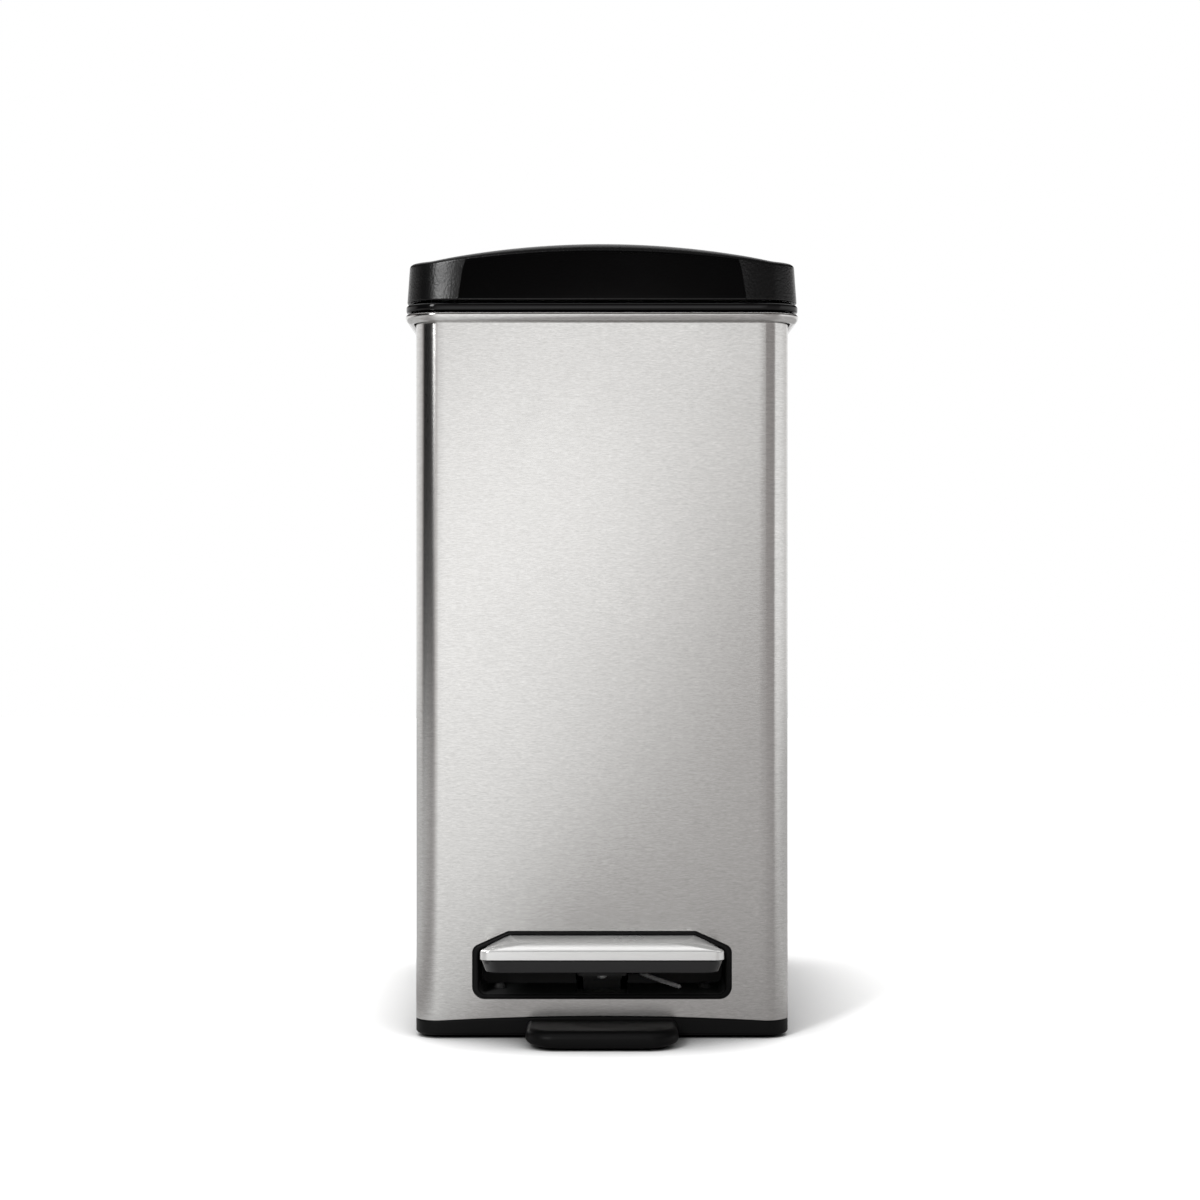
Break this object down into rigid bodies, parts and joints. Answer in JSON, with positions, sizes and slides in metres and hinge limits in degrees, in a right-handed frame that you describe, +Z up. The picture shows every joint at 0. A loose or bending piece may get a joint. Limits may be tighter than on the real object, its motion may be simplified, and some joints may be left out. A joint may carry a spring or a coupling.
{
  "type": "pedal trash can",
  "caption": "Slim upright pedal trash can with a brushed steel wrapper, hinged arched lid, lift-out bucket and a wide front step that raises the lid.",
  "frame": {"origin": "middle of the bounding box, on the floor under the rubber feet", "axes": "+Z up, -Y towards the pedal at the front, +X to the right seen from the front"},
  "size_m": [0.19, 0.301, 0.3813],
  "materials": {
    "stainless": "horizontal brushed grain, satin",
    "stainless_step": "fine brushed, bright",
    "black_gloss": "black moulded, semi-gloss with fine-textured corners",
    "black_moulded": "black moulded, satin",
    "grey_moulded": "dark grey moulded, satin",
    "bucket_grey": "dark grey moulded, matte",
    "black_steel": "black coated pressed steel",
    "zinc": "zinc-plated",
    "rubber": "matte",
    "damper_white": "natural moulded, satin"
  },
  "bodies": {
    "can": {"body_shell": "stainless", "top_collar": "black_gloss", "bucket": "bucket_grey", "rod_channel": "black_moulded", "damper_cylinder": "damper_white", "damper_cap": "black_moulded", "base": "black_moulded", "rubber_foot_front_left": "rubber", "rubber_foot_front_right": "rubber", "rubber_foot_back_left": "rubber", "rubber_foot_back_right": "rubber", "toe_pad": "rubber", "channel_screw_left": "zinc", "channel_screw_right": "zinc", "pedal_housing": "black_moulded", "housing_screw_left": "zinc", "housing_screw_right": "zinc", "pivot_bracket": "black_steel", "pivot_axle": "zinc", "axle_cap_left": "black_moulded", "axle_cap_right": "black_moulded", "bracket_screw_left": "zinc", "bracket_screw_right": "zinc", "return_spring": "zinc"},
    "lid": {"lid": "black_gloss", "lid_liner": "grey_moulded", "lid_arm": "black_steel", "lid_arm_screw_left": "zinc", "lid_arm_screw_right": "zinc", "crank_pin": "zinc", "hinge_pin_left": "zinc", "hinge_pin_right": "zinc", "lid_bumper_left": "rubber", "lid_bumper_right": "rubber"},
    "pedal": {"pedal_plate": "stainless_step", "pedal_tray": "grey_moulded", "pedal_lever": "black_steel", "pedal_screw": "zinc", "lever_pin": "zinc"},
    "lift": {"lift_rod": "zinc", "rod_yoke": "black_moulded", "rod_foot": "black_moulded", "damper_plunger": "zinc", "damper_crosshead": "black_moulded"}
  },
  "joints": [
    {"name": "lid_hinge", "type": "hinge", "parent": "can", "child": "lid", "pos_m": [0, 0.141, 0.3634], "axis": [-1, 0, 0], "range_deg": [0, 78]},
    {"name": "pedal_pivot", "type": "hinge", "parent": "can", "child": "pedal", "pos_m": [0, -0.0515, 0.0245], "axis": [1, 0, 0], "range_deg": [0, 9.5], "deforming": ["return_spring"]},
    {"name": "lift_slide", "type": "slide", "parent": "can", "child": "lift", "axis": [0, 0, 1], "range_m": [0, 0.0284]}
  ],
  "couplings": [
    {"joint": "pedal_pivot", "follows": "lid_hinge", "ratio": 0.1217},
    {"joint": "lift_slide", "follows": "lid_hinge", "m_per_rad": 0.02086}
  ]
}
